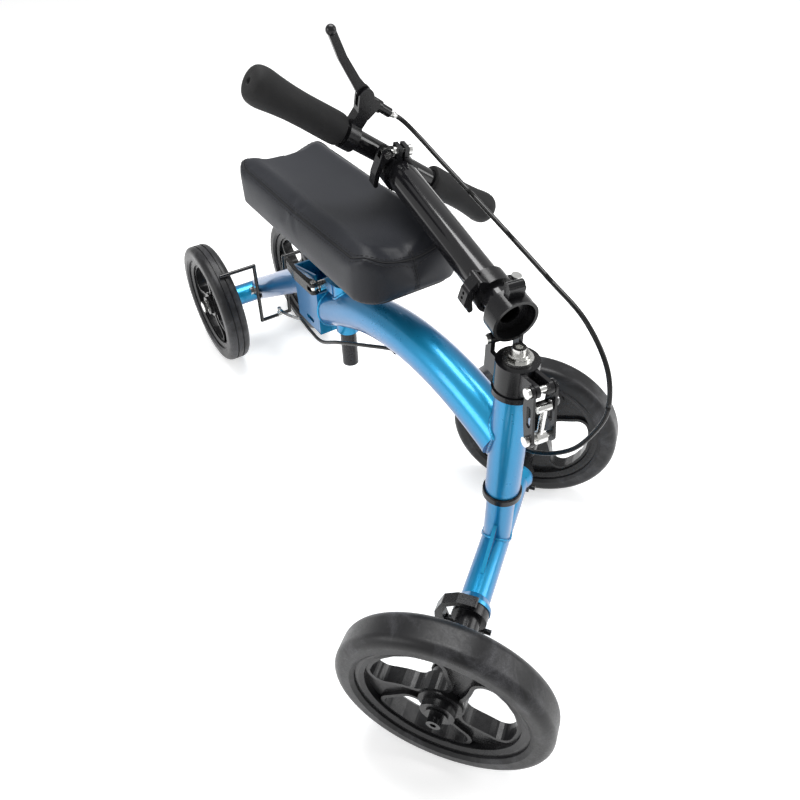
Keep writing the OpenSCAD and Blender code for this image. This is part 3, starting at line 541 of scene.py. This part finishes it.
def front_seam(bm, tree, y):
    """The upright seam on an end face, with its row of stitches."""
    for end in (1, -1):
        spots = []
        top = pad_low.z + 0.036
        count = 30
        for k in range(count):
            z = top - k * (top - pad_low.z + 0.004) / (count - 1)
            start = Vector((pad_mid.x + end * 0.3, y * end, z))
            hit, normal, _, _ = tree.ray_cast(start, Vector((-end, 0, 0)))
            if hit is not None:
                spots.append((hit, normal))
        sweep(bm, [hit + normal * 0.0001 for hit, normal in spots], 0.0005, sides=6)
        for k in range(1, len(spots) - 1, 3):
            for side in (-0.0024, 0.0024):
                shift = Vector((0, side, 0))
                sweep(bm, [spots[k - 1][0] + shift, spots[k][0] + shift + spots[k][1] * 0.0004,
                           spots[k + 1][0] + shift], [0.0003, 0.00042, 0.0003], sides=6)


def make_stitches(pad):
    tree = BVHTree.FromPolygons([v.co for v in pad.data.vertices], [p.vertices[:] for p in pad.data.polygons])
    bm = bmesh.new()
    for inset in (SEAM - 0.0028, SEAM + 0.0028):
        points = outline(inset, 0.0052)
        for i, point in enumerate(points):
            along = (points[(i + 1) % len(points)] - points[i - 1]).normalized()
            place = []
            for t in (-0.5, -0.25, 0.0, 0.25, 0.5):
                spot = point + along * (t * 0.0036)
                above = Vector((spot.x, spot.y, pad_high.z + 0.1))
                hit, normal, _, _ = tree.ray_cast(above, Vector((0, 0, -1)))
                if hit is None:
                    break
                place.append(hit + normal * (0.00022 - 0.0012 * t * t))
            if len(place) == 5:
                sweep(bm, place, [0.00028, 0.00042, 0.00046, 0.00042, 0.00028], sides=6)
    seam_cord(bm, tree, outline(SEAM, 0.0026))
    front_seam(bm, tree, 0.0)
    finish_piece("pad_stitching", bm, THREAD, "seat")


pad = make_pad()
make_stitches(pad)


# ---- handlebar grips ----

def make_grips():
    """Two rubber grips, each with a waist and a swollen, rounded outer end."""
    verts = [v.co.copy() for v in nodes["grips"].data.vertices]
    low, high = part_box("grips")
    split = (low.y + high.y) / 2
    left_side = [v for v in verts if v.y > split]
    right_side = [v for v in verts if v.y <= split]
    left = sum(left_side, Vector()) / len(left_side)
    right = sum(right_side, Vector()) / len(right_side)
    centre = (left + right) / 2
    for name, along in (("grip_left", (left - right).normalized()),
                        ("grip_right", (right - left).normalized())):
        ends = [(v - centre).dot(along) for v in verts]
        last = max(ends)
        first = min(e for e in ends if e > 0)
        start = centre + along * first
        length = last - first
        profile = [(0.0004, 0.0113), (0.0, 0.0150), (0.0010, 0.0163), (0.0030, 0.0169), (0.010, 0.0171),
                   (0.028, 0.0166), (0.046, 0.0162), (0.062, 0.0164), (0.076, 0.0173), (0.088, 0.0186),
                   (length - 0.016, 0.0194), (length - 0.009, 0.0190), (length - 0.0045, 0.0176),
                   (length - 0.0018, 0.0152), (length - 0.0004, 0.0118), (length, 0.0080),
                   (length - 0.0002, 0.0042), (length - 0.0006, 0.0034), (length - 0.0032, 0.0031),
                   (length - 0.0034, 0.0)]
        bm = bmesh.new()
        lathe(bm, start, along, profile, sides=56)
        piece = finish_piece(name, bm, MATERIALS["grip_foam"], "handlebar")
        even = piece.modifiers.new("round", "SUBSURF")
        even.levels = even.render_levels = 1
        if name == "grip_left":
            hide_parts("grips")


make_grips()


# ---- brake cable ----

SHIFT = Vector((cad_low.x + 0.1, 0, 0))     # the rear axle stands 100 mm ahead of the tail
ROUTE = [
    (374, 46.2, 493.4), (375, 61, 483), (393, 71, 468), (430, 75, 452), (480, 76, 436),
    (545, 77, 415), (605, 76, 397), (655, 76, 380), (692, 74, 350), (706, 72, 312), (702, 67, 280),
    (684, 57, 243), (649, 42, 220), (610, 25, 230), (565, 7, 246), (514, 0, 251), (480, 0, 250),
    (448, 0, 246), (398, -14, 228), (345, -26, 205), (300, -29, 180), (260, -26, 172),
    (215, -20, 165), (164, -6, 132), (120, 4, 106), (84, 8, 89), (59.6, 8, 82.2),
]


def make_cable():
    points = [Vector(p) / 1000 + SHIFT for p in ROUTE]
    line = smooth_line(points, 8)
    cuts = [("handlebar", "column_upper", 0, 4), ("column_upper", "column_lower", 4, 5),
            ("column_lower", "column_foot", 5, 6), ("column_foot", "frame", 6, 9),
            ("frame", None, 9, 24), ("frame", "brake_bar", 24, 26)]
    for number, (a, b, i, j) in enumerate(cuts):
        part = line[i * 8:j * 8 + 1]
        bm = bmesh.new()
        sweep(bm, part, CABLE_R, sides=16)
        piece = finish_piece("brake_cable_%d" % (number + 1), bm, MATERIALS["cable_sleeve"],
                             None if b else a)
        if b:
            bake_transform(piece)
        if number == 0:
            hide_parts("brake_cable")
    # ferrules where the sleeve enters the barrel and the anchor
    for name, point, other, body in (("cable_ferrule_top", line[0], line[2], "handlebar"),
                                     ("cable_ferrule_low", line[-1], line[-3], "brake_bar")):
        along = (other - point).normalized()
        bm = bmesh.new()
        lathe(bm, point, along, [(0.0, 0.0026), (0.0002, 0.0034), (0.006, 0.0034), (0.0072, 0.0031),
                                 (0.009, 0.00255)], sides=24)
        finish_piece(name, bm, MATERIALS["zinc"], body)


make_cable()


# ---- weld beads ----

def junction(node, host, reach=0.0015):
    """The longest closed run of sharp edges of one node that lies on the surface of another."""
    mesh = nodes[node].data
    other = nodes[host].data
    tree = BVHTree.FromPolygons([v.co for v in other.vertices], [p.vertices[:] for p in other.polygons])
    bm = bmesh.new()
    bm.from_mesh(mesh)
    bmesh.ops.remove_doubles(bm, verts=bm.verts[:], dist=0.00002)
    links = {}
    for edge in bm.edges:
        if len(edge.link_faces) != 2 or edge.calc_face_angle(0) < 0.5:
            continue
        if all(tree.find_nearest(v.co, reach)[0] is not None for v in edge.verts):
            a, b = edge.verts
            links.setdefault(a.index, []).append(b.index)
            links.setdefault(b.index, []).append(a.index)
    bm.verts.ensure_lookup_table()
    best, seen = [], set()
    for first in links:
        if first in seen:
            continue
        run, here = [], first
        while here is not None and here not in seen:
            seen.add(here)
            run.append(bm.verts[here].co.copy())
            here = next((n for n in links[here] if n not in seen), None)
        size = sum((b - a).length for a, b in zip(run, run[1:]))
        if len(run) > 12 and size > 0.04 and (run[0] - run[-1]).length < 0.008:
            best.append((size, run))
    bm.free()
    best.sort(key=lambda item: -item[0])
    return best[0][1] if best else []


def even_loop(points, step):
    """The same closed loop with its points evenly spaced."""
    ring = points + [points[0]]
    result, left = [], 0.0
    for a, b in zip(ring, ring[1:]):
        length = (b - a).length
        while left < length:
            result.append(a.lerp(b, left / length))
            left += step
        left -= length
    return result


def make_bead(name, line, size, body):
    """A weld bead with the small overlapping ripples that a torch leaves."""
    radii = [size * (1 + 0.14 * math.sin(i * 1.9) + rng.uniform(-0.05, 0.05)) for i in range(len(line))]
    bm = bmesh.new()
    sweep(bm, line, radii, sides=10, closed=True)
    finish_piece(name, bm, MATERIALS["blue_paint"], body)


def make_welds():
    for node, host, size, body in (
            ("main_beam", "head_tube", 0.0024, "frame"), ("rear_arm", "seat_bracket", 0.0020, "frame"),
            ("main_beam", "seat_tube", 0.0020, "frame"), ("main_beam", "seat_bracket", 0.0020, "frame"),
            ("fork_stem", "fork_cross_tube", 0.0020, "fork")):
        line = junction(node, host)
        if len(line) > 12:
            make_bead("weld_%s_%s" % (node, host), even_loop(line, 0.0016), size, body)


make_welds()


# ---- floor and light ----

def make_stage():
    bm = bmesh.new()
    bmesh.ops.create_grid(bm, x_segments=24, y_segments=24, size=8.0)
    bmesh.ops.translate(bm, verts=bm.verts[:], vec=(0, 0, -0.0004))
    mesh = bpy.data.meshes.new("floor")
    bm.to_mesh(mesh)
    bm.free()
    floor = bpy.data.objects.new("floor", mesh)
    bpy.context.collection.objects.link(floor)
    mat, tree, bsdf = new_material("floor_pale")
    place = add(tree, "ShaderNodeTexCoord").outputs["Object"]
    tone = add(tree, "ShaderNodeTexNoise", {"Vector": place, "Scale": 1.5}).outputs[0]
    shade = mix_color(tree, tone, (0.9, 0.9, 0.9, 1), (0.93, 0.93, 0.93, 1))
    tree.links.new(shade, bsdf.inputs["Base Color"])
    bsdf.inputs["Roughness"].default_value = 0.9
    bsdf.inputs["Specular IOR Level"].default_value = 0.1
    bsdf.inputs["Emission Color"].default_value = (1, 1, 1, 1)
    bsdf.inputs["Emission Strength"].default_value = 0.42
    mesh.materials.append(mat)


def area_light(name, place, target, size, power, color=(1, 1, 1)):
    data = bpy.data.lights.new(name, "AREA")
    data.shape = "RECTANGLE"
    data.size, data.size_y = size
    data.energy = power
    data.color = color
    obj = bpy.data.objects.new(name, data)
    bpy.context.collection.objects.link(obj)
    obj.location = place
    way = Vector(target) - Vector(place)
    obj.rotation_mode = "QUATERNION"
    obj.rotation_quaternion = way.to_track_quat("-Z", "Y")


def make_light():
    world = bpy.data.worlds.new("studio")
    world.use_nodes = True
    bpy.context.scene.world = world
    tree = world.node_tree
    back = tree.nodes["Background"]
    back.inputs["Color"].default_value = (1, 1, 1, 1)
    back.inputs["Strength"].default_value = 0.55
    seen = add(tree, "ShaderNodeBackground", {"Color": (1, 1, 1, 1), "Strength": 1.0})
    ray = add(tree, "ShaderNodeLightPath").outputs["Is Camera Ray"]
    both = add(tree, "ShaderNodeMixShader", {0: ray, 1: back.outputs[0], 2: seen.outputs[0]})
    tree.links.new(both.outputs[0], tree.nodes["World Output"].inputs["Surface"])
    area_light("key_top", (-0.3, 0.3, 2.2), (0, 0, 0.2), (1.6, 1.0), 42)
    area_light("side_left", (1.2, 1.8, 1.2), (0, 0, 0.3), (0.8, 1.4), 16)
    area_light("side_right", (-0.4, -2.0, 1.0), (0, 0, 0.3), (1.2, 0.8), 14)
    scene = bpy.context.scene
    scene.view_settings.view_transform = "Standard"


make_stage()
make_light()
